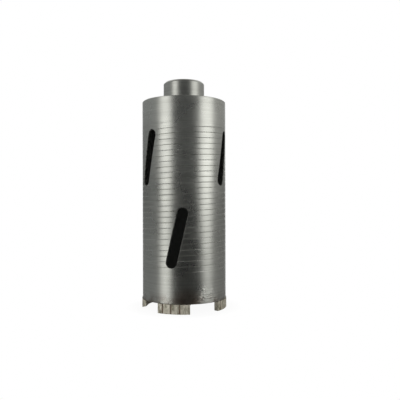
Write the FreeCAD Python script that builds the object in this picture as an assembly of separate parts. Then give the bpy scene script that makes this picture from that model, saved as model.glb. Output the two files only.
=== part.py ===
import FreeCAD, Part
import math
import os

# Dry diamond core bit, 65 mm, with a BSP 1/2 inch spindle thread. Lengths in mm, angles in degrees.
# The axis is Z, the cutting segments stand on z = 0 and the spindle hub points up.
# An azimuth counts from -Y towards +X, so azimuth 0 faces the front.

# Barrel tube
barrel_diameter = 63.6
barrel_wall = 2.0
barrel_length = 149.0
rim_chamfer = 0.4

# Slanted dust slots, milled square to the wall. A height is from the tube's lower rim to the slot's middle.
slot_width = 7.8
slot_tilt = 13.0
slots_per_row = 3
lower_slot_length = 43.9
lower_slot_height = 47.3
lower_slot_first = -7.8
upper_slot_length = 41.4
upper_slot_height = 105.5
upper_slot_first = -53.2

# Cutting segments: each is an arc piece brazed to the lower rim, with upright flutes in its outer face.
segment_height = 7.0
segment_length = 24.8
segment_thickness = 3.5
segment_proud = 0.4
segment_chamfer = 0.3
segment_azimuths = (-13.0, 73.7, 141.8, 209.8, 277.9)
flute_count = 3
flute_first = 4.9
flute_pitch = 6.3
flute_width = 1.3
flute_depth = 0.35
worn_segment = 5           # this one has lost the lower corner of its last end
worn_height = 2.8
worn_length = 12.0

# End plate, pressed into the tube flush with its upper rim
plate_thickness = 6.0
plate_fit = 0.05
rim_weld_depth = 1.2
rim_weld_share = 0.5       # share of the tube's wall that the weld bevel takes

# Threaded hub, with a spigot down through the plate
hub_diameter = 31.2
hub_height = 15.5
hub_chamfer = 1.5
spigot_diameter = 26.0
spigot_fit = 0.05
hub_weld_leg = 3.0
thread_major = 20.955
thread_minor = 18.631
mouth_clearance = 0.4
tail_chamfer = 0.8

# Sizes that follow
barrel_outer = barrel_diameter / 2
barrel_inner = barrel_outer - barrel_wall
rim_low = segment_height
rim_high = rim_low + barrel_length
plate_low = rim_high - plate_thickness
plate_radius = barrel_inner - plate_fit
hub_radius = hub_diameter / 2
hub_top = rim_high + hub_height
spigot_radius = spigot_diameter / 2
bore_radius = thread_minor / 2
mouth_radius = thread_major / 2 + mouth_clearance
segment_outer = barrel_outer + segment_proud
segment_inner = segment_outer - segment_thickness
weld_reach = barrel_wall * rim_weld_share

axis = FreeCAD.Vector(0, 0, 1)
centre = FreeCAD.Vector(0, 0, 0)


def polar(radius, azimuth, height):
    """The point at a radius, an azimuth and a height."""
    angle = math.radians(azimuth)
    return FreeCAD.Vector(radius * math.sin(angle), -radius * math.cos(angle), height)


def turned(outline, start=0.0, sweep=360.0):
    """The solid that an outline of (radius, height) points sweeps about the axis."""
    corners = [polar(radius, start, height) for radius, height in outline]
    section = Part.Face(Part.makePolygon(corners + corners[:1]))
    return section.revolve(centre, axis, sweep)


def slot_cutter(azimuth, height, length):
    """An upright stadium through one wall, leaning towards a larger azimuth at its top."""
    radius = slot_width / 2
    reach = length / 2 - radius
    outside = -barrel_outer - slot_width
    depth = barrel_outer / 2 + slot_width
    corners = [
        FreeCAD.Vector(x * radius, outside, z * reach)
        for x, z in ((-1, -1), (-1, 1), (1, 1), (1, -1))
    ]
    top = FreeCAD.Vector(0, outside, reach + radius)
    bottom = FreeCAD.Vector(0, outside, -reach - radius)
    edges = [
        Part.LineSegment(corners[0], corners[1]).toShape(),
        Part.Arc(corners[1], top, corners[2]).toShape(),
        Part.LineSegment(corners[2], corners[3]).toShape(),
        Part.Arc(corners[3], bottom, corners[0]).toShape(),
    ]
    cutter = Part.Face(Part.Wire(edges)).extrude(FreeCAD.Vector(0, depth, 0))
    cutter.rotate(centre, FreeCAD.Vector(0, 1, 0), slot_tilt)
    cutter.translate(FreeCAD.Vector(0, 0, height))
    cutter.rotate(centre, axis, azimuth)
    return cutter


def make_barrel():
    """The tube, with a small chamfer outside its upper rim, a weld bevel inside it, and two rows of slots."""
    chamfer = min(rim_chamfer, barrel_wall / 4)
    tube = turned([
        (barrel_inner, rim_low),
        (barrel_outer, rim_low),
        (barrel_outer, rim_high - chamfer),
        (barrel_outer - chamfer, rim_high),
        (barrel_inner + weld_reach, rim_high),
        (barrel_inner, rim_high - rim_weld_depth),
    ])
    rows = (
        (lower_slot_first, lower_slot_height, lower_slot_length),
        (upper_slot_first, upper_slot_height, upper_slot_length),
    )
    cutters = [
        slot_cutter(first + number * 360 / slots_per_row, rim_low + height, length)
        for first, height, length in rows
        for number in range(slots_per_row)
    ]
    return tube.cut(cutters)


def make_end_plate():
    """The closing disc, bevelled at its upper edge for the weld and bored for the hub's spigot."""
    hole = spigot_radius + spigot_fit
    return turned([
        (hole, plate_low),
        (plate_radius, plate_low),
        (plate_radius, rim_high - rim_weld_depth),
        (plate_radius - rim_weld_depth, rim_high),
        (hole, rim_high),
    ])


def make_rim_weld():
    """The ring of weld metal between plate and tube, turned flush with the upper rim."""
    root = rim_high - rim_weld_depth
    return turned([
        (plate_radius, root),
        (barrel_inner, root),
        (barrel_inner + weld_reach, rim_high),
        (plate_radius - rim_weld_depth, rim_high),
    ])


def make_threaded_hub():
    """The hub with its spigot, bored to the thread's minor diameter and countersunk at both ends."""
    mouth = mouth_radius - bore_radius
    return turned([
        (bore_radius + tail_chamfer, plate_low),
        (spigot_radius, plate_low),
        (spigot_radius, rim_high),
        (hub_radius, rim_high),
        (hub_radius, hub_top - hub_chamfer),
        (hub_radius - hub_chamfer, hub_top),
        (mouth_radius, hub_top),
        (bore_radius, hub_top - mouth),
        (bore_radius, plate_low + tail_chamfer),
    ])


def make_hub_weld():
    """The fillet weld in the corner between hub and plate."""
    return turned([
        (hub_radius, rim_high),
        (hub_radius + hub_weld_leg, rim_high),
        (hub_radius, rim_high + hub_weld_leg),
    ])


def wear_cutter(last):
    """The wedge that wear has taken from below a segment, deepest at its last end, which is at an azimuth."""
    outward = polar(1, last, 0)
    back = polar(1, last - 90, 0)
    origin = outward * (segment_inner - segment_thickness)
    beyond = 1.0
    corners = [
        origin + back * along + axis * height
        for along, height in (
            (worn_length, 0),
            (worn_length, -beyond),
            (-beyond, -beyond),
            (-beyond, worn_height * (1 + beyond / worn_length)),
        )
    ]
    return Part.Face(Part.makePolygon(corners + corners[:1])).extrude(outward * segment_thickness * 3)


def make_segment(middle, worn):
    """One cutting segment about an azimuth, its lower edges chamfered and its outer face fluted."""
    sweep = math.degrees(segment_length / segment_outer)
    start = middle - sweep / 2
    block = turned([
        (segment_inner + segment_chamfer, 0),
        (segment_outer - segment_chamfer, 0),
        (segment_outer, segment_chamfer),
        (segment_outer, segment_height),
        (segment_inner, segment_height),
        (segment_inner, segment_chamfer),
    ], start, sweep)
    cutter_radius = (flute_width ** 2 / 4 + flute_depth ** 2) / (2 * flute_depth)
    cutters = []
    for number in range(flute_count):
        along = flute_first + number * flute_pitch
        azimuth = start + math.degrees(along / segment_outer)
        foot = polar(segment_outer + cutter_radius - flute_depth, azimuth, -1)
        cutters.append(Part.makeCylinder(cutter_radius, segment_height + 2, foot, axis))
    if worn:
        cutters.append(wear_cutter(start + sweep))
    return block.cut(cutters)


nodes = {
    "barrel": make_barrel(),
    "end_plate": make_end_plate(),
    "rim_weld": make_rim_weld(),
    "threaded_hub": make_threaded_hub(),
    "hub_weld": make_hub_weld(),
}
for number, azimuth in enumerate(segment_azimuths, start=1):
    nodes[f"segment_{number}"] = make_segment(azimuth, number == worn_segment)

os.makedirs("parts", exist_ok=True)
for name, shape in nodes.items():
    shape.exportStep(f"parts/{name}.step")
    print(name, "solids", len(shape.Solids), "valid", shape.isValid(), "volume", round(shape.Volume, 1))
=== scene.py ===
import math
import bpy
import bmesh
import numpy as np
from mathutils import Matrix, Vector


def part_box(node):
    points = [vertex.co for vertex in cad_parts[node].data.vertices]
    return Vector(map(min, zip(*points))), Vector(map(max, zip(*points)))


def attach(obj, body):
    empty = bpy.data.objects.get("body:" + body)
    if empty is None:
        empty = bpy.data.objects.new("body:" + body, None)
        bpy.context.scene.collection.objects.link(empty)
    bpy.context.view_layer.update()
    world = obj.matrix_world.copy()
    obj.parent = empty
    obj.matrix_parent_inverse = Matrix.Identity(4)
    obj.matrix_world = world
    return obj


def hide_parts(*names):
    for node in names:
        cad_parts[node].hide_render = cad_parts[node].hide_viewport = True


# A dry diamond core bit standing on its segments, in a studio of two tall softboxes.
# All is in metres in the CAD frame: the bit's axis is Z, azimuth 0 faces -Y and grows towards +X.

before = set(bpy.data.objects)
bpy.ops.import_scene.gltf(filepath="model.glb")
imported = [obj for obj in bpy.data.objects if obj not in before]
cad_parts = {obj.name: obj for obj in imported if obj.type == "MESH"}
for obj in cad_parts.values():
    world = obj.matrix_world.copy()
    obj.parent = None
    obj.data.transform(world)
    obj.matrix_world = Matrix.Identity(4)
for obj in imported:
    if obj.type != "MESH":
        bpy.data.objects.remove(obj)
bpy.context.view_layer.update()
mm = 0.001
turn = 2 * math.pi
mergeDistance = 0.0008 * mm  # rows of points that run together are merged below this distance
print("frame loaded:", len(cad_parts), "nodes")


# Small helpers for meshes

def polar(radius, azimuth, height):
    # points at a radius, an azimuth in radians and a height, as one array
    radius, azimuth, height = np.broadcast_arrays(radius, azimuth, height)
    return np.stack([radius * np.sin(azimuth), -radius * np.cos(azimuth), height], axis=-1)


def turnRows(outline, azimuth):
    # one row of points round the axis for each radius and height of an outline
    outline = np.array(outline)
    return polar(outline[:, :1], azimuth, outline[:, 1:])


def smoothStep(value, low, high):
    # 0 below low, 1 above high, and 3t^2 - 2t^3 between
    share = np.clip((value - low) / (high - low), 0.0, 1.0)
    return share * share * (3 - 2 * share)


def waveNoise(seed, waves, *axes):
    # smooth noise of about unit size: sine waves with random directions and phases, added up and
    # divided by the square root of their number
    random = np.random.default_rng(seed)
    total = 0.0
    for _ in range(waves):
        turns = random.normal(size=len(axes))
        phase = random.uniform(0, turn)
        total = total + np.sin(sum(k * axis for k, axis in zip(turns, axes)) * turn + phase)
    return total / math.sqrt(waves)


def gridFaces(rows, columns, closeRows=False, closeColumns=False):
    # quads between neighbouring points of a grid, numbered row by row
    row = np.arange(rows if closeRows else rows - 1)[:, None]
    column = np.arange(columns if closeColumns else columns - 1)[None, :]
    nextRow = (row + 1) % rows
    nextColumn = (column + 1) % columns
    corners = [row * columns + column, row * columns + nextColumn,
               nextRow * columns + nextColumn, nextRow * columns + column]
    return np.stack(np.broadcast_arrays(*corners), axis=-1).reshape(-1, 4)


def cleanMesh(mesh, mergeBelow, recalculate):
    # merges the points that are closer than a distance, and turns the faces of a closed mesh outwards
    shape = bmesh.new()
    shape.from_mesh(mesh)
    if mergeBelow:
        bmesh.ops.remove_doubles(shape, verts=shape.verts, dist=mergeBelow)
    if recalculate:
        bmesh.ops.recalc_face_normals(shape, faces=shape.faces)
    shape.to_mesh(mesh)
    shape.free()


def newPiece(name, points, faces, mergeBelow=None, recalculate=False):
    # a mesh object from an array of points and a list of faces
    mesh = bpy.data.meshes.new(name)
    mesh.from_pydata(points.reshape(-1, 3).tolist(), [], [list(map(int, face)) for face in faces])
    if mergeBelow or recalculate:
        cleanMesh(mesh, mergeBelow, recalculate)
    piece = bpy.data.objects.new(name, mesh)
    bpy.context.scene.collection.objects.link(piece)
    return piece


def smoothShade(piece, angle=math.radians(32)):
    # smooth faces, with the edges sharper than the angle kept crisp
    piece.data.polygons.foreach_set("use_smooth", np.ones(len(piece.data.polygons), bool))
    piece.data.set_sharp_from_angle(angle=angle)
    return piece


def makeDisc(name, look, height):
    # a flat round face about the axis
    rim = np.linspace(0, turn, look["rimPoints"], endpoint=False)
    return newPiece(name, polar(look["radius"], rim, height), [list(range(len(rim)))])


def finishPiece(piece, material, slot, *nodeNames):
    # the piece's material, its body and the CAD nodes that it stands for; slot is not used
    piece.data.materials.append(material)
    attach(piece, "root")
    if nodeNames:
        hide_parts(*nodeNames)
    print("piece", piece.name, "faces", len(piece.data.polygons))


# Small helpers for materials

def linearColour(code):
    # an sRGB hex colour as linear red, green, blue and alpha
    parts = [int(code[i:i + 2], 16) / 255 for i in (1, 3, 5)]
    return [p / 12.92 if p <= 0.04045 else ((p + 0.055) / 1.055) ** 2.4 for p in parts] + [1.0]


def addNode(tree, kind, inputs=None, **settings):
    # one shader node with its settings; each input is a plain value or another node's socket
    node = tree.nodes.new("ShaderNode" + kind)
    for key, value in settings.items():
        setattr(node, key, value)
    for key, value in (inputs or {}).items():
        if isinstance(value, bpy.types.NodeSocket):
            tree.links.new(value, node.inputs[key])
        else:
            node.inputs[key].default_value = value
    return node


def newMaterial(name):
    material = bpy.data.materials.new(name)
    material.use_nodes = True
    material.node_tree.nodes.clear()
    return material, material.node_tree


def roundMarks(tree, pitch, length, detail):
    # noise drawn out round the axis, as a lathe tool leaves it: rings on a wall, circles on a face
    place = addNode(tree, "TexCoord").outputs["Object"]
    apart = addNode(tree, "SeparateXYZ", {0: place})
    flat = addNode(tree, "CombineXYZ", {"X": apart.outputs["X"], "Y": apart.outputs["Y"]})
    radius = addNode(tree, "VectorMath", {0: flat.outputs[0]}, operation="LENGTH").outputs["Value"]
    across = addNode(tree, "Math", {0: radius, 1: 1 / pitch}, operation="MULTIPLY").outputs[0]
    spread = addNode(tree, "Mapping", {"Vector": place, "Scale": (1 / length, 1 / length, 1 / pitch)})
    return addNode(tree, "TexNoise", {
        "Vector": spread.outputs[0], "W": across, "Scale": 1.0, "Detail": detail, "Roughness": 0.6,
    }, noise_dimensions="4D").outputs["Fac"]


def closeTo(tree, place, spot, reach, most):
    # a share that is the most within a third of the reach from a spot, and falls to 0 at the reach
    away = addNode(tree, "VectorMath", {0: place, 1: spot}, operation="DISTANCE").outputs["Value"]
    return addNode(tree, "MapRange", {
        "Value": away, "From Min": reach, "From Max": reach / 3, "To Max": most,
    }, interpolation_type="SMOOTHSTEP").outputs[0]


# Turned steel: carbon steel tube and bar, machined on a lathe and left bare. Fine marks run round the
# axis, so the reflections stay narrow round the tube and smear along it.
# The real marks are about 0.1 mm apart; the widest set here is 0.9 mm, which is what a render can show.
# The brazing has tinted the steel brown and blotchy over the last centimetre above the segments, and
# most of all right of the front segment, where the work has also scuffed it.
turnedSteel = {
    "light": "#d6d7cf", "dark": "#c6c7bf", "toneRange": (0.75, 1.25), "anisotropic": 0.45,
    "roughness": (0.25, 0.32), "cloud": 14 * mm, "cloudRange": (0.3, 0.7),
    "markPitch": 0.9 * mm, "finePitch": 0.3 * mm, "markLength": 60 * mm, "markDepth": 0.0008 * mm,
    "tint": "#958b80", "tintFrom": 17 * mm, "tintTo": 4 * mm,
    "blotch": 5 * mm, "spotRange": (0.4, 0.65), "spotLeast": 0.1,
    "burn": "#aa8d75", "burnAt": (3.0 * mm, -31.5 * mm, 8.0 * mm), "burnReach": 14 * mm, "burnShare": 0.45,
    "marksAt": (18.5 * mm, -26.0 * mm, 8.0 * mm), "marksReach": 15 * mm, "markWide": 2.2 * mm,
    "markHigh": 0.8 * mm, "marksDepth": 1.2 * mm, "marksElsewhere": 0.07,
}

# The hub is of another steel, a little darker and coarser.
hubSteel = {**turnedSteel, "light": "#cbccc4", "dark": "#babbb3", "roughness": (0.28, 0.34)}


def makeTurnedSteel(name, look):
    material, tree = newMaterial(name)
    place = addNode(tree, "TexCoord").outputs["Object"]
    coarse = roundMarks(tree, look["markPitch"], look["markLength"], 3.0)
    fine = roundMarks(tree, look["finePitch"], look["markLength"] / 2, 1.0)
    both = addNode(tree, "Math", {0: coarse, 1: fine}, operation="ADD").outputs[0]
    cloud = addNode(tree, "TexNoise", {"Vector": place, "Scale": 1 / look["cloud"], "Detail": 2.0})
    least, most = look["toneRange"]
    tone = addNode(tree, "MapRange", {"Value": both, "From Min": least, "From Max": most})
    colour = addNode(tree, "Mix", {
        "Factor": tone.outputs[0], "A": linearColour(look["dark"]), "B": linearColour(look["light"]),
    }, data_type="RGBA")
    low, high = look["roughness"]
    least, most = look["cloudRange"]
    rough = addNode(tree, "MapRange", {
        "Value": cloud.outputs["Fac"], "From Min": least, "From Max": most, "To Min": low, "To Max": high,
    })
    height = addNode(tree, "SeparateXYZ", {0: place}).outputs["Z"]
    heat = addNode(tree, "MapRange", {
        "Value": height, "From Min": look["tintFrom"], "From Max": look["tintTo"],
    }, interpolation_type="SMOOTHSTEP").outputs[0]
    blotch = addNode(tree, "TexNoise", {"Vector": place, "Scale": 1 / look["blotch"], "Detail": 3.0})
    least, most = look["spotRange"]
    spots = addNode(tree, "MapRange", {
        "Value": blotch.outputs["Fac"], "From Min": least, "From Max": most, "To Min": look["spotLeast"],
    }).outputs[0]
    tinted = addNode(tree, "Math", {0: heat, 1: spots}, operation="MULTIPLY").outputs[0]
    warm = addNode(tree, "Mix", {
        "Factor": tinted, "A": colour.outputs["Result"], "B": linearColour(look["tint"]),
    }, data_type="RGBA")
    shade = addNode(tree, "Mix", {
        "Factor": closeTo(tree, place, look["burnAt"], look["burnReach"], look["burnShare"]),
        "A": warm.outputs["Result"], "B": linearColour(look["burn"]),
    }, data_type="RGBA")
    near = closeTo(tree, place, look["marksAt"], look["marksReach"], 1.0)
    faint = addNode(tree, "Math", {0: heat, 1: look["marksElsewhere"]}, operation="MULTIPLY").outputs[0]
    patchy = addNode(tree, "Math", {0: near, 1: spots}, operation="MULTIPLY").outputs[0]
    marked = addNode(tree, "Math", {0: faint, 1: patchy}, operation="MAXIMUM").outputs[0]
    wide, tall = 1 / look["markWide"], 1 / look["markHigh"]
    spread = addNode(tree, "Mapping", {"Vector": place, "Scale": (wide, wide, tall)})
    marks = addNode(tree, "TexNoise", {"Vector": spread.outputs[0], "Scale": 1.0, "Detail": 2.0})
    rise = addNode(tree, "Bump", {
        "Height": marks.outputs["Fac"], "Strength": marked, "Distance": look["marksDepth"],
    })
    bump = addNode(tree, "Bump", {"Height": both, "Distance": look["markDepth"], "Normal": rise.outputs[0]})
    tangent = addNode(tree, "Tangent", direction_type="RADIAL", axis="Z")
    steel = addNode(tree, "BsdfPrincipled", {
        "Base Color": shade.outputs["Result"], "Metallic": 1.0, "Roughness": rough.outputs[0],
        "Anisotropic": look["anisotropic"], "Normal": bump.outputs[0], "Tangent": tangent.outputs[0],
    })
    addNode(tree, "OutputMaterial", {"Surface": steel.outputs[0]})
    return material


# Mill scale: the tube's bore is as it was drawn, dull and nearly black with oxide.
millScale = {"light": "#50514d", "dark": "#343735", "roughness": 0.7, "patch": 3 * mm, "depth": 0.03 * mm}


def makeMillScale(name, look):
    material, tree = newMaterial(name)
    place = addNode(tree, "TexCoord").outputs["Object"]
    patch = addNode(tree, "TexNoise", {"Vector": place, "Scale": 1 / look["patch"], "Detail": 4.0})
    colour = addNode(tree, "Mix", {
        "Factor": patch.outputs["Fac"], "A": linearColour(look["dark"]), "B": linearColour(look["light"]),
    }, data_type="RGBA")
    bump = addNode(tree, "Bump", {"Height": patch.outputs["Fac"], "Distance": look["depth"]})
    scale = addNode(tree, "BsdfPrincipled", {
        "Base Color": colour.outputs["Result"], "Roughness": look["roughness"], "Normal": bump.outputs[0],
    })
    addNode(tree, "OutputMaterial", {"Surface": scale.outputs[0]})
    return material


# What the three tinted metals share: how sharply their patches part, and how deep their grain is.
tintedMetal = {"patchRange": (0.38, 0.62), "depth": 0.03 * mm}

# Weld metal: steel from an arc weld, brushed over, with a brown and grey heat tint in patches.
weldMetal = {
    **tintedMetal, "light": "#a9a69d", "dark": "#6f665c",
    "roughness": 0.38, "patch": 4 * mm, "grain": 0.4 * mm,
}

# Milled steel: the slots' walls and their broken edges, left dull by the cutter and stained.
milledSteel = {
    **tintedMetal, "light": "#8f908a", "dark": "#5e5f5b",
    "roughness": 0.5, "patch": 2 * mm, "grain": 0.3 * mm,
}

# Braze: a thin silver solder seam, burnt dark in places by its flux.
brazeMetal = {
    **tintedMetal, "light": "#b3afa1", "dark": "#4f4b42",
    "roughness": 0.45, "patch": 1.6 * mm, "grain": 0.3 * mm,
}


def makeTintedMetal(name, look):
    material, tree = newMaterial(name)
    place = addNode(tree, "TexCoord").outputs["Object"]
    patch = addNode(tree, "TexNoise", {"Vector": place, "Scale": 1 / look["patch"], "Detail": 3.0})
    grain = addNode(tree, "TexNoise", {"Vector": place, "Scale": 1 / look["grain"], "Detail": 2.0})
    least, most = look["patchRange"]
    share = addNode(tree, "MapRange", {"Value": patch.outputs["Fac"], "From Min": least, "From Max": most})
    colour = addNode(tree, "Mix", {
        "Factor": share.outputs[0], "A": linearColour(look["dark"]), "B": linearColour(look["light"]),
    }, data_type="RGBA")
    bump = addNode(tree, "Bump", {"Height": grain.outputs["Fac"], "Distance": look["depth"]})
    metal = addNode(tree, "BsdfPrincipled", {
        "Base Color": colour.outputs["Result"], "Metallic": 1.0, "Roughness": look["roughness"],
        "Normal": bump.outputs[0],
    })
    addNode(tree, "OutputMaterial", {"Surface": metal.outputs[0]})
    return material


# Sintered diamond: metal powder and diamond grit pressed and sintered into a block, then ground round
# outside. A grey-beige matrix in upright patches, with grit 0.45 mm apart. The piece's attributes say
# where brown bond is left, in the flutes, and how dark the ends are: partly burnt by the brazing and
# partly painted shade, most of all on segment 5's worn end.
sinteredDiamond = {
    # the ends' near-black is braze burn and painted shade
    "light": "#f2ecda", "dark": "#938f78", "grit": "#f3eee3", "flute": "#6d5645", "burnAndShade": "#34332d",
    "metallic": 0.55, "roughness": (0.42, 0.54),
    "patch": 1.9 * mm, "streak": 4.5 * mm, "patchRange": (0.35, 0.65),
    "gritSize": 0.45 * mm, "gritRange": (0.15, 0.4), "gritShare": 0.5,
    "stainRange": (0.3, 0.6), "stainLeast": 0.45, "depth": 0.03 * mm, "relief": 0.7,
}


def makeSinteredDiamond(name, look):
    material, tree = newMaterial(name)
    place = addNode(tree, "TexCoord").outputs["Object"]
    wide, tall = 1 / look["patch"], 1 / look["streak"]
    spread = addNode(tree, "Mapping", {"Vector": place, "Scale": (wide, wide, tall)})
    patch = addNode(tree, "TexNoise", {
        "Vector": spread.outputs[0], "Scale": 1.0, "Detail": 4.0, "Roughness": 0.6,
    })
    least, most = look["patchRange"]
    share = addNode(tree, "MapRange", {"Value": patch.outputs["Fac"], "From Min": least, "From Max": most})
    matrix = addNode(tree, "Mix", {
        "Factor": share.outputs[0], "A": linearColour(look["dark"]), "B": linearColour(look["light"]),
    }, data_type="RGBA")
    grit = addNode(tree, "TexVoronoi", {"Vector": place, "Scale": 1 / look["gritSize"]})
    least, most = look["gritRange"]
    grain = addNode(tree, "MapRange", {
        "Value": grit.outputs["Distance"], "From Min": least, "From Max": most, "To Min": 1.0, "To Max": 0.0,
    })
    shown = addNode(tree, "Math", {0: grain.outputs[0], 1: look["gritShare"]}, operation="MULTIPLY")
    gritty = addNode(tree, "Mix", {
        "Factor": shown.outputs[0], "A": matrix.outputs["Result"], "B": linearColour(look["grit"]),
    }, data_type="RGBA")
    flute = addNode(tree, "Attribute", attribute_name="flute").outputs["Fac"]
    least, most = look["stainRange"]
    stain = addNode(tree, "MapRange", {
        "Value": patch.outputs["Fac"], "From Min": least, "From Max": most, "To Min": look["stainLeast"],
    })
    stained = addNode(tree, "Math", {0: flute, 1: stain.outputs[0]}, operation="MULTIPLY").outputs[0]
    fluted = addNode(tree, "Mix", {
        "Factor": stained, "A": gritty.outputs["Result"], "B": linearColour(look["flute"]),
    }, data_type="RGBA")
    # darkening of the ends: braze burn and painted shade on the end faces
    burnAndShade = addNode(tree, "Attribute", attribute_name="burnAndShade").outputs["Fac"]
    colour = addNode(tree, "Mix", {
        "Factor": burnAndShade, "A": fluted.outputs["Result"], "B": linearColour(look["burnAndShade"]),
    }, data_type="RGBA")
    low, high = look["roughness"]
    rough = addNode(tree, "MapRange", {"Value": patch.outputs["Fac"], "To Min": low, "To Max": high})
    bump = addNode(tree, "Bump", {
        "Height": grain.outputs[0], "Strength": look["relief"], "Distance": look["depth"],
    })
    block = addNode(tree, "BsdfPrincipled", {
        "Base Color": colour.outputs["Result"], "Metallic": look["metallic"], "Roughness": rough.outputs[0],
        "Normal": bump.outputs[0],
    })
    addNode(tree, "OutputMaterial", {"Surface": block.outputs[0]})
    return material


steelMaterial = makeTurnedSteel("turnedSteel", turnedSteel)
hubMaterial = makeTurnedSteel("hubSteel", hubSteel)
scaleMaterial = makeMillScale("millScale", millScale)
weldMaterial = makeTintedMetal("weldMetal", weldMetal)
milledMaterial = makeTintedMetal("milledSteel", milledSteel)
brazeMaterial = makeTintedMetal("brazeMetal", brazeMetal)
diamondMaterial = makeSinteredDiamond("sinteredDiamond", sinteredDiamond)
print("materials made")


# Barrel: a steel tube with slanted dust slots and a fine two-start helical groove round it.
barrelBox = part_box("barrel")
barrelSet = {
    "outer": barrelBox[1].x, "wall": 2.0 * mm, "low": barrelBox[0].z, "high": barrelBox[1].z,
    "edgeBreak": 0.25 * mm, "rimChamfer": 0.4 * mm, "weldReach": 1.0 * mm, "weldDepth": 1.2 * mm,
    "columns": 240, "plainRows": 5, "landRows": (1 / 3, 2 / 3), "outerFacing": 0.6, "boreFacing": -0.9,
    "grooveLow": 28.8 * mm, "grooveHigh": 139.5 * mm, "lowFade": 2.6 * mm, "highFade": 6.0 * mm,
    "grooveSpacing": 3.985 * mm, "grooveStarts": 2, "groovePhase": 85.56 * mm,
    "grooveWidth": 0.5 * mm, "grooveDepth": 0.19 * mm, "faintStart": 0.75,
}


def grooveOffset(look, azimuth, height):
    # the signed distance along the tube to the nearest groove's middle, and that groove's number
    lead = look["grooveSpacing"] * look["grooveStarts"]
    turns = (height - lead * azimuth / turn - look["groovePhase"]) / look["grooveSpacing"]
    number = np.round(turns)
    return (turns - number) * look["grooveSpacing"], number


def grooveDepthAt(look, azimuth, height):
    # depth of the groove that is nearest: every other one is fainter, and both fade out at the ends
    number = grooveOffset(look, azimuth, height)[1]
    strength = np.where(number % 2 == 1, 1.0, look["faintStart"])
    ends = smoothStep(height, look["grooveLow"], look["grooveLow"] + look["lowFade"])
    ends = ends * smoothStep(-height, -look["grooveHigh"], look["highFade"] - look["grooveHigh"])
    return look["grooveDepth"] * strength * ends


def grooveShape(look, azimuth, height):
    # how deep a point lies in its groove, from 0 to 1, and how fast that grows with the height
    offset = grooveOffset(look, azimuth, height)[0]
    half = look["grooveWidth"] / 2
    share = np.clip(1 - np.abs(offset) / half, 0, 1)
    return share, -np.sign(offset) / half * (share > 0)


def makeBarrel(look):
    # Rows run up the outer wall, over the upper rim, down the bore and out along the lower rim.
    # In the grooved stretch a row follows the helix: height = start + lead * azimuth / turn, held
    # between the stretch's two ends, where the rows that meet are merged.
    lead = look["grooveSpacing"] * look["grooveStarts"]
    half = look["grooveWidth"] / 2
    azimuth = np.linspace(0, turn, look["columns"] + 1)[None, :]
    onLand = half + (look["grooveSpacing"] - 2 * half) * np.array(look["landRows"])
    places = np.concatenate([[-half, 0.0, half], onLand])
    first = math.floor((look["grooveLow"] - lead - look["groovePhase"]) / look["grooveSpacing"]) - 1
    last = math.ceil((look["grooveHigh"] - look["groovePhase"]) / look["grooveSpacing"]) + 1
    starts = look["groovePhase"] + np.arange(first, last)[:, None] * look["grooveSpacing"] + places
    grooved = starts.reshape(-1, 1) + lead * azimuth / turn
    grooved = np.clip(grooved, look["grooveLow"], look["grooveHigh"])
    cut = grooveShape(look, azimuth, grooved)[0] * grooveDepthAt(look, azimuth, grooved)
    wall = polar(look["outer"] - cut, azimuth, grooved)

    outer, low, high = look["outer"], look["low"], look["high"]
    edge, chamfer = look["edgeBreak"], look["rimChamfer"]
    inner = outer - look["wall"]
    lower = np.linspace(low + edge, look["grooveLow"], look["plainRows"])[:-1]
    upper = np.linspace(look["grooveHigh"], high - chamfer, look["plainRows"])[1:]
    below = [(inner, low + edge), (inner + edge, low), (outer - edge, low)]
    below += [(outer, z) for z in lower]
    above = [(outer, z) for z in upper]
    above += [(outer - chamfer, high), (inner + look["weldReach"], high), (inner, high - look["weldDepth"])]
    points = np.concatenate([turnRows(below, azimuth), wall, turnRows(above, azimuth)])
    faces = gridFaces(points.shape[0], points.shape[1], closeRows=True)
    return newPiece("barrelTube", points, faces, mergeBelow=mergeDistance)


# Dust slots: milled square to the wall, their outer edge broken by hand.
slotSet = {
    "width": 7.8 * mm, "tilt": math.radians(13.0), "edgeBreak": 0.5 * mm, "count": 3,
    "rows": (
        {"first": -7.8, "height": 47.3 * mm, "length": 43.9 * mm},
        {"first": -53.2, "height": 105.5 * mm, "length": 41.4 * mm},
    ),
    "arcPoints": 28, "sidePoints": 14, "edgeBends": (0, 25, 50, 70), "outside": 1.0 * mm,
}


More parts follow.
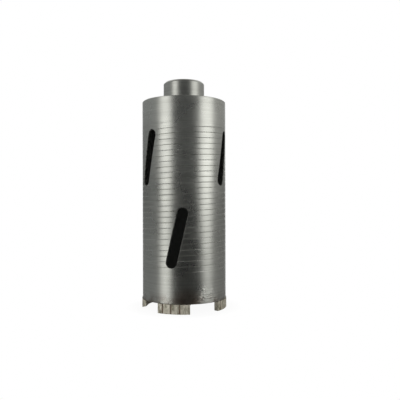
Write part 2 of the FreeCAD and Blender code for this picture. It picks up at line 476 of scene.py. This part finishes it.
def makeSlotCutter(look, barrel, azimuth, height, length):
    # A stadium outline carried through the wall. Each ring of it keeps a set depth under the tube's
    # surface, so the flare at the mouth breaks the edge evenly all round.
    radius = look["width"] / 2
    reach = length / 2 - radius
    arc = np.linspace(0, math.pi, look["arcPoints"], endpoint=False)
    side = np.linspace(reach, -reach, look["sidePoints"], endpoint=False)
    across = np.concatenate([np.cos(arc), -np.ones_like(side)])
    up = np.concatenate([np.sin(arc), np.zeros_like(side)])
    along = np.concatenate([np.full_like(arc, reach), side])
    across, up, along = (np.concatenate([a, -a]) for a in (across, up, along))

    # The edge is rounded: a quarter circle in steps, which leaves the surface along its last step. A
    # step is how much it widens the slot and how deep it lies; the first and last are flat instead.
    edge, outside = look["edgeBreak"], look["outside"]
    bends = np.radians(look["edgeBends"])
    steps = [(edge * (1 - math.cos(bend)), edge * (1 - math.sin(bend)), None) for bend in bends]
    widen, sink, _ = steps[-1]
    beyond = (sink + outside) / math.cos(bends[-1])
    steps.append((widen + beyond * math.sin(bends[-1]), -outside, None))
    steps = [(0, 0, barrel["outer"] / 2)] + steps + [(steps[-1][0], 0, barrel["outer"] + 3 * outside)]
    bearing = math.radians(azimuth)
    rings = []
    for widen, sink, flat in steps:
        x = across * (radius + widen)
        z = along + up * (radius + widen)
        x, z = (x * math.cos(look["tilt"]) + z * math.sin(look["tilt"]),
                z * math.cos(look["tilt"]) - x * math.sin(look["tilt"]))
        depth = np.sqrt(barrel["outer"] ** 2 - x ** 2) - sink if flat is None else np.full_like(x, flat)
        rings.append(np.stack([
            x * math.cos(bearing) + depth * math.sin(bearing),
            x * math.sin(bearing) - depth * math.cos(bearing),
            z + barrel["low"] + height,
        ], axis=-1))
    points = np.stack(rings)
    rows, columns = points.shape[:2]
    faces = gridFaces(rows, columns, closeColumns=True).tolist()
    faces += [list(range(columns)), list(range((rows - 1) * columns, rows * columns))]
    return newPiece("slotCutter", points, faces, recalculate=True)


def cutSlots(piece, look, barrel):
    # Takes every slot out of the tube in one exact cut. The cutters' faces carry material index 1, by
    # which the milled faces are known afterwards.
    cutters = []
    for row in look["rows"]:
        for number in range(look["count"]):
            azimuth = row["first"] + number * 360 / look["count"]
            cutters.append(makeSlotCutter(look, barrel, azimuth, row["height"], row["length"]))
    shape = bmesh.new()
    for cutter in cutters:
        shape.from_mesh(cutter.data)
    for face in shape.faces:
        face.material_index = 1
    shape.to_mesh(cutters[0].data)
    shape.free()
    cut = piece.modifiers.new("slots", "BOOLEAN")
    cut.operation = "DIFFERENCE"
    cut.solver = "EXACT"
    cut.object = cutters[0]
    result = bpy.data.meshes.new_from_object(piece.evaluated_get(bpy.context.evaluated_depsgraph_get()))
    piece.modifiers.clear()
    piece.data = result
    for cutter in cutters:
        bpy.data.objects.remove(cutter)


def readValues(items, name, kind=float, width=1):
    # one property of all the faces, corners or points of a mesh, as an array
    values = np.empty(len(items) * width, kind)
    items.foreach_get(name, values)
    return values.reshape(-1, width) if width > 1 else values


def setBarrelNormals(piece, look):
    # Exact normals on both walls of the tube: radial, and tilted on a groove's two flanks. The other
    # faces keep the normals that Blender works out. Afterwards material 0 is the turned steel, 1 the
    # mill scale in the bore and 2 the milled steel in the slots.
    mesh = piece.data
    smoothShade(piece)
    centre = readValues(mesh.polygons, "center", width=3)
    normal = readValues(mesh.polygons, "normal", width=3)
    total = readValues(mesh.polygons, "loop_total", int)
    source = readValues(mesh.polygons, "material_index", np.int32)
    vertex = readValues(mesh.loops, "vertex_index", int)
    place = readValues(mesh.vertices, "co", width=3)

    azimuth = np.arctan2(centre[:, 0], -centre[:, 1])
    radial = polar(1.0, azimuth, 0.0)
    facing = (normal * radial).sum(axis=1)
    height = centre[:, 2]
    radius = np.hypot(centre[:, 0], centre[:, 1])
    middle = look["outer"] - look["wall"] / 2
    plain = (height > look["low"] + look["edgeBreak"]) & (height < look["high"] - look["weldDepth"])
    plain = plain & (source == 0)
    outside = (facing > look["outerFacing"]) & (radius > middle) & plain
    inside = (facing < look["boreFacing"]) & (radius < middle) & plain
    slope = grooveShape(look, azimuth, height)[1] * grooveDepthAt(look, azimuth, height)

    corner = place[vertex]
    spread = polar(1.0, np.arctan2(corner[:, 0], -corner[:, 1]), 0.0)
    spread[:, 2] = np.repeat(np.where(outside, slope, 0.0), total)
    spread /= np.linalg.norm(spread, axis=1)[:, None]
    way = np.repeat(np.where(outside, 1.0, np.where(inside, -1.0, 0.0)), total)
    mesh.normals_split_custom_set((spread * way[:, None]).tolist())
    mesh.polygons.foreach_set("material_index", np.where(inside, 1, source * 2).astype(np.int32))


barrelPiece = makeBarrel(barrelSet)
finishPiece(barrelPiece, steelMaterial, "barrel_steel", "barrel")
barrelPiece.data.materials.append(scaleMaterial)
barrelPiece.data.materials.append(milledMaterial)
cutSlots(barrelPiece, slotSet, barrelSet)
setBarrelNormals(barrelPiece, barrelSet)


# Lathe work: a closed outline of radius, height and corner radius, turned about the axis

def roundedOutline(corners, steps=4):
    # each corner with a radius becomes an arc of a few points that touches both its sides
    outline = []
    for index, (radius, height, rounding) in enumerate(corners):
        here = np.array([radius, height])
        if not rounding:
            outline.append(here)
            continue
        before = np.array(corners[index - 1][:2]) - here
        after = np.array(corners[(index + 1) % len(corners)][:2]) - here
        before, after = (way / np.linalg.norm(way) for way in (before, after))
        half = math.acos(np.clip(before @ after, -1, 1)) / 2
        inward = (before + after) / np.linalg.norm(before + after)
        middle = here + inward * rounding / math.sin(half)
        start = here + before * rounding / math.tan(half) - middle
        end = here + after * rounding / math.tan(half) - middle
        for share in np.linspace(0, 1, steps + 1):
            way = start * (1 - share) + end * share
            outline.append(middle + way / np.linalg.norm(way) * rounding)
    return np.array(outline)


def turnOutline(name, outline, columns):
    # the outline carried round the axis
    azimuth = np.linspace(0, turn, columns, endpoint=False)[None, :]
    faces = gridFaces(len(outline), columns, closeRows=True, closeColumns=True)
    return newPiece(name, turnRows(outline, azimuth), faces, recalculate=True)


# End plate and the weld that closes the tube's rim, both faced flush
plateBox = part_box("end_plate")
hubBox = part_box("threaded_hub")
plateSet = {
    "outer": plateBox[1].x, "hole": 13.05 * mm, "low": plateBox[0].z, "high": plateBox[1].z,
    "bevel": 1.2 * mm, "edge": 0.15 * mm, "columns": 200,
}


def makePlate(look):
    corners = [
        (look["hole"], look["low"], look["edge"]),
        (look["outer"], look["low"], look["edge"]),
        (look["outer"], look["high"] - look["bevel"], 0),
        (look["outer"] - look["bevel"], look["high"], 0),
        (look["hole"], look["high"], look["edge"]),
    ]
    return smoothShade(turnOutline("endPlate", roundedOutline(corners), look["columns"]))


def makeRimWeld(plate, barrel):
    inner = barrel["outer"] - barrel["wall"]
    root = plate["high"] - plate["bevel"]
    outline = [
        (plate["outer"], root), (inner, root),
        (inner + barrel["weldReach"], plate["high"]), (plate["outer"] - plate["bevel"], plate["high"]),
    ]
    return smoothShade(turnOutline("rimWeld", outline, plate["columns"]))


finishPiece(makePlate(plateSet), steelMaterial, "plate_steel", "end_plate")
finishPiece(makeRimWeld(plateSet, barrelSet), weldMaterial, "weld_metal", "rim_weld")


# Hub: turned from bar, with a G 1/2 thread in its bore
hubSet = {
    "radius": hubBox[1].x, "low": hubBox[0].z, "seat": plateBox[1].z, "top": hubBox[1].z,
    "spigot": 13.0 * mm, "chamfer": 1.5 * mm, "edge": 0.5 * mm, "columns": 160,
    "minor": 18.631 / 2 * mm, "major": 20.955 / 2 * mm, "pitch": 1.814 * mm,
    "mouth": 0.4 * mm, "tail": 0.8 * mm, "steepness": 1.25,
    "threadRows": (0.05, 0.18, 0.32, 0.45, 0.55, 0.68, 0.82, 0.95),
}


def makeHub(look):
    # The bore's rows follow the thread: its radius is a flat-topped triangle wave of the height less
    # pitch * azimuth / turn, and the countersinks at both ends cut it back.
    azimuth = np.linspace(0, turn, look["columns"] + 1)[None, :]
    low, top, pitch = look["low"], look["top"], look["pitch"]
    mouth = look["major"] + look["mouth"]
    tail = look["minor"] + look["tail"]
    corners = [
        (tail, low, 0), (look["spigot"], low, look["edge"]),
        (look["spigot"], look["seat"], 0), (look["radius"], look["seat"], 0),
        (look["radius"], top - look["chamfer"], look["edge"]),
        (look["radius"] - look["chamfer"], top, look["edge"]), (mouth, top, 0),
    ]
    skin = turnRows(roundedOutline(corners)[1:-1], azimuth)
    turns = np.arange(-1, math.ceil((top - low) / pitch) + 1)[:, None]
    starts = (turns + np.array(look["threadRows"])).ravel()[::-1, None] * pitch + low
    height = np.clip(starts + pitch * azimuth / turn, low, top)
    share = ((height - low) / pitch - azimuth / turn) % 1.0
    wave = np.clip(0.5 + (np.abs(2 * share - 1) - 0.5) * look["steepness"], 0, 1)
    thread = look["minor"] + (look["major"] - look["minor"]) * wave
    radius = np.maximum(thread, np.maximum(mouth - (top - height), tail - (height - low)))
    points = np.concatenate([skin, polar(radius, azimuth, height)])
    faces = gridFaces(points.shape[0], points.shape[1], closeRows=True)
    return smoothShade(newPiece("threadedHub", points, faces, mergeBelow=mergeDistance, recalculate=True))


finishPiece(makeHub(hubSet), hubMaterial, "hub_steel", "threaded_hub")


# Hub weld: a fillet bead laid round the hub in small overlapping ripples
filletSet = {
    "leg": 3.0 * mm, "ripple": 1.6 * mm, "rippleDepth": 0.12 * mm, "crescent": 5.0, "bow": 0.25 * mm,
    "waver": 0.2 * mm, "seed": 3, "waves": 5, "rootSunk": 0.02 * mm, "columns": 640, "rows": 11,
}


def makeHubWeld(look, hub):
    # A face between the two legs, bowed a little outwards. Its ripples are crescents: a cosine of the
    # way round plus a share that grows towards both toes.
    azimuth = np.linspace(0, turn, look["columns"], endpoint=False)[None, :]
    across = np.linspace(0, 1, look["rows"])[:, None]
    bow = np.sin(across * math.pi)
    count = round(turn * hub["radius"] / look["ripple"])
    ripple = np.cos(count * azimuth + look["crescent"] * (across - 0.5) ** 2) * look["rippleDepth"]
    waver = waveNoise(look["seed"], look["waves"], 2 * np.sin(azimuth), 2 * np.cos(azimuth))
    lift = bow * (look["bow"] + ripple + waver * look["waver"])
    diagonal = math.sqrt(0.5)
    radius = hub["radius"] + look["leg"] * (1 - across) + lift * diagonal
    height = hub["seat"] + look["leg"] * across + lift * diagonal
    face = polar(radius, azimuth, height)
    root = turnRows([(hub["radius"] - look["rootSunk"], hub["seat"] - look["rootSunk"])], azimuth)
    points = np.concatenate([face, root])
    faces = gridFaces(look["rows"] + 1, look["columns"], closeRows=True, closeColumns=True)
    return smoothShade(newPiece("hubWeld", points, faces, recalculate=True))


finishPiece(makeHubWeld(filletSet, hubSet), weldMaterial, "weld_metal", "hub_weld")


# Diamond segments: sintered blocks with rounded, gritty edges and three shallow flutes
segmentSet = {
    "height": barrelSet["low"], "length": 24.8 * mm, "outer": 32.2 * mm, "inner": 28.7 * mm,
    "corner": 0.2 * mm, "topCorner": 0.1 * mm, "azimuths": (-13.0, 73.7, 141.8, 209.8, 277.9),
    "fluteFirst": 4.1 * mm, "flutePitch": 6.6 * mm, "fluteCount": 3,
    "fluteWidth": 1.3 * mm, "fluteDepth": 0.35 * mm, "stainEdge": 1.5,
    "cell": 0.24 * mm, "cornerPoints": 4, "capPoints": 8, "merge": 0.0005 * mm, "sharpAngle": 50.0,
    "grain": 0.028 * mm, "grainSeed": 20, "swell": 0.05 * mm, "swellSeed": 40, "waves": 9,
    "swellWide": 6 * mm, "swellHigh": 5 * mm, "mostLift": 0.03 * mm, "seatMargin": 0.02 * mm,
    "worn": 5, "wornHeight": 2.8 * mm, "wornLength": 12.0 * mm, "wornInside": 3.6 * mm, "wornReach": 17 * mm,
    # how far the ends are darkened: braze burn and painted shade, the worn end most
    "endBurnAndShade": 0.2, "wornEndBurnAndShade": 0.85,
}


def makeSegment(look, number, middle):
    # A rounded section carried round the axis. At each end it shrinks along a quarter circle and
    # then to a point, so the block is closed; grit is random height on the grid's points, apart from
    # the face that the tube's rim sits on.
    inner, outer, corner, length = look["inner"], look["outer"], look["corner"], look["length"]
    corners = [
        (inner, 0, corner), (outer, 0, corner),
        (outer, look["height"], look["topCorner"]), (inner, look["height"], look["topCorner"]),
    ]
    outline = roundedOutline(corners)
    closed = np.vstack([outline, outline[:1]])
    spans = []
    for here, there in zip(closed[:-1], closed[1:]):
        steps = max(1, round(np.linalg.norm(there - here) / look["cell"]))
        spans.append(here + (there - here) * np.linspace(0, 1, steps, endpoint=False)[:, None])
    section = np.concatenate(spans)
    centre = np.array([(inner + outer) / 2, look["height"] / 2])

    bend = np.linspace(0, math.pi / 2, look["cornerPoints"])
    capShrink = np.linspace(0, 1, look["capPoints"], endpoint=False)
    capInset = np.full_like(capShrink, corner)
    edgeAlong = corner * (1 - np.cos(bend))
    edgeInset = corner * (1 - np.sin(bend))
    count = round((length - 2 * corner) / look["cell"])
    body = np.linspace(corner, length - corner, count + 1)[1:-1]
    along = np.concatenate([0 * capShrink, edgeAlong, body, length - edgeAlong[::-1], length + 0 * capShrink])
    inset = np.concatenate([capInset, edgeInset, 0 * body, edgeInset[::-1], capInset])
    spread = np.concatenate([capShrink, np.ones(len(body) + 2 * len(bend)), capShrink[::-1]])

    outward = section - np.roll(section, 1, axis=0)
    outward = outward + np.roll(outward, -1, axis=0)
    outward = np.stack([outward[:, 1], -outward[:, 0]], axis=1)
    outward /= np.linalg.norm(outward, axis=1)[:, None]
    random = np.random.default_rng(look["grainSeed"] + number)
    grain = random.normal(size=(len(section), len(along))) * look["grain"]
    grain = (grain + np.roll(grain, 1, 0) + np.roll(grain, 1, 1) + np.roll(grain, (1, 1), (0, 1))) / 2
    wide, high = look["swellWide"], look["swellHigh"]
    scaled = section[:, :1] / wide, section[:, 1:] / high, along[None, :] / wide
    swell = waveNoise(look["swellSeed"] + number, look["waves"], *scaled)
    lift = np.minimum(grain + swell * look["swell"], look["mostLift"])
    top = section[:, 1:] > look["height"] - look["seatMargin"]
    lift = np.where(top, 0, lift)
    place = section[:, None, :] - outward[:, None, :] * (inset[None, :, None] - lift[:, :, None])
    place = centre + (place - centre) * spread[None, :, None]

    fluteRadius = (look["fluteWidth"] ** 2 / 4 + look["fluteDepth"] ** 2) / (2 * look["fluteDepth"])
    sunk = np.zeros_like(along)
    for index in range(look["fluteCount"]):
        at = look["fluteFirst"] + index * look["flutePitch"]
        reach = np.sqrt(np.maximum(fluteRadius ** 2 - (along - at) ** 2, 0))
        sunk = np.maximum(sunk, reach - (fluteRadius - look["fluteDepth"]))
    limit = outer - sunk[None, :]
    cut = (place[..., 0] > limit) & (sunk[None, :] > 0)
    radius = np.where(cut, limit + np.minimum(lift, 0), place[..., 0])
    start = math.radians(middle) - length / outer / 2
    azimuth = start + along[None, :] / outer
    height = place[..., 1]
    if number == look["worn"]:
        # the lower corner of its last end is worn to a slant, which rises towards that end and, less
        # and less with the distance from it, towards the inside as well
        back = radius * np.sin(start + length / outer - azimuth)
        inward = np.clip((outer - radius) / (outer - inner), 0, 1)
        slant = look["wornHeight"] * (1 - back / look["wornLength"])
        slant = slant + look["wornInside"] * inward * np.clip(1 - back / look["wornReach"], 0, 1)
        height = np.maximum(height, slant + np.minimum(lift, 0))
    points = polar(radius, azimuth, height)
    piece = newPiece(f"segment{number}", points, gridFaces(len(section), len(along), closeRows=True))
    stain = np.where(cut, np.clip(sunk / look["fluteDepth"] * look["stainEdge"], 0, 1)[None, :], 0.0)
    # each end is darkened towards its face: braze burn and painted shade, most of all on the worn end
    wornEnd = (along > length / 2) & (number == look["worn"])
    most = np.where(wornEnd, look["wornEndBurnAndShade"], look["endBurnAndShade"])
    burnAndShade = np.clip(inset / corner, 0, 1) ** 2 * most + 0 * stain
    for name, share in (("flute", stain), ("burnAndShade", burnAndShade)):
        attribute = piece.data.attributes.new(name, "FLOAT", "POINT")
        attribute.data.foreach_set("value", share.astype(np.float32).ravel())
    cleanMesh(piece.data, mergeBelow=look["merge"], recalculate=True)
    return smoothShade(piece, math.radians(look["sharpAngle"]))


for number, azimuth in enumerate(segmentSet["azimuths"], start=1):
    segment = makeSegment(segmentSet, number, azimuth)
    finishPiece(segment, diamondMaterial, "diamond_segment", f"segment_{number}")


# Braze: the thin burnt seam along each segment's top edge, where it stands proud of the tube
brazeSet = {
    "leg": 0.4 * mm, "rise": 0.65 * mm, "leastRise": 0.02 * mm, "endFade": 0.03, "waves": 7,
    "wander": 0.3, "wanderSeed": 60, "wanderCycles": 9,
    "bulge": 0.18, "bulgeWander": 0.6, "bulgeSeed": 80, "bulgeCycles": 14,
    "toe": 0.01 * mm, "sunk": 0.05 * mm, "columns": 150, "rows": 7,
    "bead": (0.8 * mm, 0.7 * mm), "longBead": (8.5 * mm, 2.6 * mm), "beadSteps": 9,
    "hollow": 1.4, "drawnIn": 0.8,
}


def makeEndBead(look, segment, barrel, azimuth, way, size):
    # the bead in the corner between a segment's end and the tube's lower rim: slightly hollow below,
    # carried through the wall and drawn in at the outside
    share = np.linspace(0, 1, look["beadSteps"])
    sunk = look["sunk"]
    along = np.concatenate([[-sunk, size[0]], size[0] * (1 - share), [-sunk]])
    down = np.concatenate([[-sunk, -sunk], size[1] * share ** look["hollow"], [size[1]]])
    inner = barrel["outer"] - barrel["wall"] + 2 * sunk
    outer = barrel["outer"] - 2 * sunk
    sections = ((inner, 1.0), (outer - 4 * sunk, 1.0), (outer, look["drawnIn"]))
    points = [polar(radius, azimuth + way * along * scale / radius, segment["height"] - down * scale)
              for radius, scale in sections]
    count = len(along)
    last = count * (len(sections) - 1)
    faces = gridFaces(len(sections), count, closeColumns=True).tolist()
    faces += [list(range(count)), list(range(last, last + count))]
    return np.concatenate(points), faces


def makeBraze(look, segment, barrel, number, middle):
    # a fillet between the block's top edge and the tube's wall; its height wanders and dies at both ends
    along = np.linspace(0, 1, look["columns"])[None, :]
    across = np.linspace(0, 1, look["rows"])[:, None]
    ends = smoothStep(along, 0, look["endFade"]) * smoothStep(1 - along, 0, look["endFade"])
    wander = waveNoise(look["wanderSeed"] + number, look["waves"], along * look["wanderCycles"]) - 1
    rise = np.maximum(look["rise"] * ends * (1 + look["wander"] * wander), look["leastRise"])
    wander = waveNoise(look["bulgeSeed"] + number, look["waves"], along * look["bulgeCycles"], across)
    bulge = look["bulge"] * np.sin(across * math.pi) * (1 + look["bulgeWander"] * wander)
    radius = barrel["outer"] + look["leg"] * ends * (1 - across) + bulge * look["leg"] * ends
    height = segment["height"] + rise * across + bulge * rise
    sweep = segment["length"] / segment["outer"]
    azimuth = math.radians(middle) + (along - 0.5) * sweep
    face = polar(np.maximum(radius, barrel["outer"] - look["toe"]), azimuth, height)
    root = polar(barrel["outer"] - look["sunk"], azimuth, segment["height"])
    points = np.concatenate([face, root])
    rows, columns = points.shape[:2]
    faces = gridFaces(rows, columns, closeRows=True).tolist()
    faces += [[row * columns for row in range(rows)], [row * columns + columns - 1 for row in range(rows)]]
    points = points.reshape(-1, 3)
    for way in (-1, 1):
        size = look["longBead"] if way > 0 and number == segment["worn"] else look["bead"]
        end = math.radians(middle) + way * sweep / 2
        bead, beadFaces = makeEndBead(look, segment, barrel, end, way, size)
        faces += [[len(points) + corner for corner in face] for face in beadFaces]
        points = np.concatenate([points, bead])
    return smoothShade(newPiece(f"brazeSeam{number}", points, faces, recalculate=True))


for number, azimuth in enumerate(segmentSet["azimuths"], start=1):
    seam = makeBraze(brazeSet, segmentSet, barrelSet, number, azimuth)
    finishPiece(seam, brazeMaterial, "weld_metal")


# Studio: a tent of plain light that only the steel's reflections see. Two tall softboxes stand at the
# front left and right, with a dark stretch behind the camera and grey flags at the sides. It is open
# at the back, where the steel shows the white backdrop. Each row of six numbers goes with the six
# heights. Ceiling and table go from their first level at discFront to their second at discBack.
tentSet = {
    "radius": 0.7, "low": -0.6, "high": 0.8, "columns": 144, "rows": 60, "rimPoints": 64,
    "ceiling": (0.09, 0.7), "table": (0.16, 0.16), "discFront": 0.05, "discBack": 0.4,
    "heights": (-0.10, -0.04, 0.02, 0.10, 0.20, 0.29),
    "front": (0.016, 0.013, 0.024, 0.055, 0.074, 0.070),
    "leftFlag": (0.21, 0.205, 0.187, 0.137, 0.22, 0.31),
    "rightFlag": (0.20, 0.183, 0.168, 0.168, 0.31, 0.35),
    "boxes": (
        {
            "from": (-64.3, -64.5, -64.0, -60.5, -65.0, -65.0),
            "to": (-35.7, -35.2, -34.7, -33.8, -32.3, -35.0),
            "levels": (1.00, 1.18, 1.12, 1.19, 1.54, 1.23),
        },
        {
            "from": (52.5, 53.0, 49.5, 45.2, 44.0, 47.0),
            "to": (79.0, 79.0, 78.5, 79.0, 86.0, 84.0),
            "levels": (0.60, 0.95, 0.90, 1.56, 1.52, 1.20),
        },
    ),
    "frontTo": 70.0, "flagFrom": 84.0, "flagTo": 157.0, "boxEdge": 6.0, "cool": "#f9fcff",
}


def tentGlow(look, azimuth, height):
    # Colour of the tent's wall at an azimuth in degrees, slightly cool at the front and on the left.
    # Each part changes with the height in its own way.
    def level(values):
        return np.interp(height, look["heights"], values)

    cool = np.array(linearColour(look["cool"]))
    side = np.where(azimuth < 0, level(look["leftFlag"]), level(look["rightFlag"]))
    side = side[..., None] * np.where(azimuth[..., None] < 0, cool, 1.0)
    dark = level(look["front"])[..., None] * cool
    glow = dark + (side - dark) * smoothStep(np.abs(azimuth), look["frontTo"], look["flagFrom"])[..., None]
    edge = look["boxEdge"]
    for box in look["boxes"]:
        start, end = level(box["from"]), level(box["to"])
        share = smoothStep(azimuth - start, -edge, edge) * smoothStep(end - azimuth, -edge, edge)
        glow = glow + (level(box["levels"])[..., None] - glow) * share[..., None]
    return glow


def makeTent(look):
    azimuth = np.linspace(-look["flagTo"], look["flagTo"], look["columns"])[None, :]
    height = np.linspace(look["low"], look["high"], look["rows"])[:, None]
    wall = polar(look["radius"], np.radians(azimuth), height)
    faces = gridFaces(look["rows"], look["columns"])
    tent = newPiece("studioTent", wall, faces)
    glow = tentGlow(look, azimuth, height).astype(np.float32)
    tent.data.attributes.new("glow", "FLOAT_COLOR", "POINT").data.foreach_set("color", glow.ravel())
    ceiling = makeDisc("studioCeiling", look, look["high"])
    table = makeDisc("studioTable", look, look["low"])
    for part, levels in ((tent, None), (ceiling, look["ceiling"]), (table, look["table"])):
        material, tree = newMaterial(part.name)
        if levels is None:
            colour = addNode(tree, "Attribute", attribute_name="glow").outputs["Color"]
            shine = addNode(tree, "Emission", {"Color": colour})
        else:
            place = addNode(tree, "SeparateXYZ", {0: addNode(tree, "TexCoord").outputs["Object"]})
            level = addNode(tree, "MapRange", {
                "Value": place.outputs["Y"], "From Min": look["discFront"], "From Max": look["discBack"],
                "To Min": levels[0], "To Max": levels[1],
            }, interpolation_type="SMOOTHSTEP")
            shine = addNode(tree, "Emission", {"Strength": level.outputs[0]})
        addNode(tree, "OutputMaterial", {"Surface": shine.outputs[0]})
        part.data.materials.append(material)
        part.visible_camera = False
        part.visible_diffuse = False
        part.visible_shadow = False


makeTent(tentSet)


# Floor: a small white table that fades into the white backdrop and keeps the bit's soft shadow. What
# the steel mirrors of it is a painted shadow of the bit: dark close to it, and a little lighter at its rim.
floorSet = {
    "radius": 50 * mm, "rimPoints": 96, "colour": "#f2f2f0",
    "white": 0.94, "fadeFrom": 35 * mm, "fadeTo": 46 * mm,
    "shade": 0.2, "shadeFrom": 46 * mm, "shadeTo": 60 * mm,
}


def whiteRays(tree):
    # 1 for the rays that see the white background: camera, glossy and transmission
    path = addNode(tree, "LightPath")
    seen = path.outputs["Is Camera Ray"]
    for kind in ("Is Glossy Ray", "Is Transmission Ray"):
        seen = addNode(tree, "Math", {0: seen, 1: path.outputs[kind]}, operation="MAXIMUM").outputs[0]
    return seen


def makeFloor(look):
    floor = makeDisc("tableTop", look, 0.0)
    material, tree = newMaterial("whiteTable")
    place = addNode(tree, "TexCoord").outputs["Object"]
    reach = addNode(tree, "VectorMath", {0: place}, operation="LENGTH").outputs["Value"]
    fade = addNode(tree, "MapRange", {
        "Value": reach, "From Min": look["fadeFrom"], "From Max": look["fadeTo"],
        "To Min": look["white"], "To Max": 1.0,
    }, interpolation_type="SMOOTHSTEP")
    # painted shadow: for glossy rays the table's glow is dimmed close to the bit
    mirroredShadow = addNode(tree, "MapRange", {
        "Value": reach, "From Min": look["shadeFrom"], "From Max": look["shadeTo"],
        "To Min": look["shade"], "To Max": 1.0,
    }, interpolation_type="SMOOTHSTEP")
    glossy = addNode(tree, "LightPath").outputs["Is Glossy Ray"]
    shown = addNode(tree, "Mix", {"Factor": glossy, "A": fade.outputs[0], "B": 1.0})
    level = addNode(tree, "Mix", {"Factor": glossy, "A": 1.0, "B": mirroredShadow.outputs[0]})
    share = addNode(tree, "Math", {0: whiteRays(tree), 1: shown.outputs["Result"]}, operation="MULTIPLY")
    matt = addNode(tree, "BsdfDiffuse", {"Color": linearColour(look["colour"])})
    white = addNode(tree, "Emission", {"Strength": level.outputs["Result"]})
    top = addNode(tree, "MixShader", {0: share.outputs[0], 1: matt.outputs[0], 2: white.outputs[0]})
    clear = addNode(tree, "BsdfTransparent")
    back = addNode(tree, "NewGeometry").outputs["Backfacing"]
    both = addNode(tree, "MixShader", {0: back, 1: top.outputs[0], 2: clear.outputs[0]})
    addNode(tree, "OutputMaterial", {"Surface": both.outputs[0]})
    floor.data.materials.append(material)


makeFloor(floorSet)


# World: white where it is seen, and a plain even light on what isn't metal
worldSet = {"seen": 1.0, "fill": 0.75}


def makeWorld(look):
    world = bpy.data.worlds.new("studioWorld")
    bpy.context.scene.world = world
    world.use_nodes = True
    tree = world.node_tree
    tree.nodes.clear()
    strength = addNode(tree, "MapRange", {
        "Value": whiteRays(tree), "To Min": look["fill"], "To Max": look["seen"],
    })
    light = addNode(tree, "Background", {"Color": linearColour("#ffffff"), "Strength": strength.outputs[0]})
    addNode(tree, "OutputWorld", {"Surface": light.outputs[0]})


makeWorld(worldSet)


# Camera: level, from the front, with the bit a little left of the picture's middle. Its lens and
# sensor are in millimetres, and its small pitch and roll in radians.
cameraSet = {
    "lens": 46.1, "sensor": 36.0, "x": 12.2 * mm, "y": -395.0 * mm, "z": 80.7 * mm,
    "pitch": 0.0017, "roll": 0.0025, "clip": (0.01, 20.0),
}


def addCamera(look):
    data = bpy.data.cameras.new("camera")
    data.lens = look["lens"]
    data.sensor_width = look["sensor"]
    data.clip_start, data.clip_end = look["clip"]
    camera = bpy.data.objects.new("camera", data)
    camera.location = (look["x"], look["y"], look["z"])
    camera.rotation_euler = (math.pi / 2 + look["pitch"], look["roll"], 0.0)
    bpy.context.scene.collection.objects.link(camera)
    bpy.context.scene.camera = camera


addCamera(cameraSet)
bpy.context.scene.view_settings.view_transform = "Standard"
print("studio, floor and camera made")
